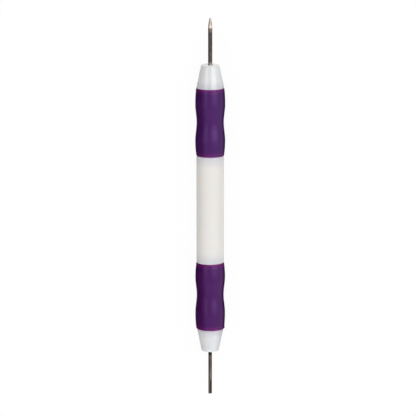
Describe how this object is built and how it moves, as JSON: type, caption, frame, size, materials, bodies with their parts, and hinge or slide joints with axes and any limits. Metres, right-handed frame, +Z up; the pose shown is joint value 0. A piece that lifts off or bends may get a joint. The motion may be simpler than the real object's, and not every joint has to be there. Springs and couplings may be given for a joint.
{
  "type": "quilling tool",
  "caption": "Pen-like paper rolling tool with soft waisted grips on a tube, a pointed steel needle at one end and a slotted steel pin at the other.",
  "frame": {"origin": "under the middle of the whole length, on the table that the two grips lie on", "axes": "+X along the tool towards the needle's point, +Z up from the table"},
  "size_m": [0.15, 0.0116, 0.0117],
  "materials": {
    "barrel_plastic": "satin, milky white",
    "holder_plastic": "smooth gloss, cool white",
    "soft_grip": "matte, soft touch",
    "needle_steel": "drawn steel with a ground point",
    "pin_steel": "drawn steel, dull"
  },
  "bodies": {
    "root": {"barrel": "barrel_plastic", "needle_holder": "holder_plastic", "slotted_holder": "holder_plastic", "needle_grip": "soft_grip", "slotted_grip": "soft_grip", "needle": "needle_steel", "slotted_pin": "pin_steel"}
  },
  "joints": []
}
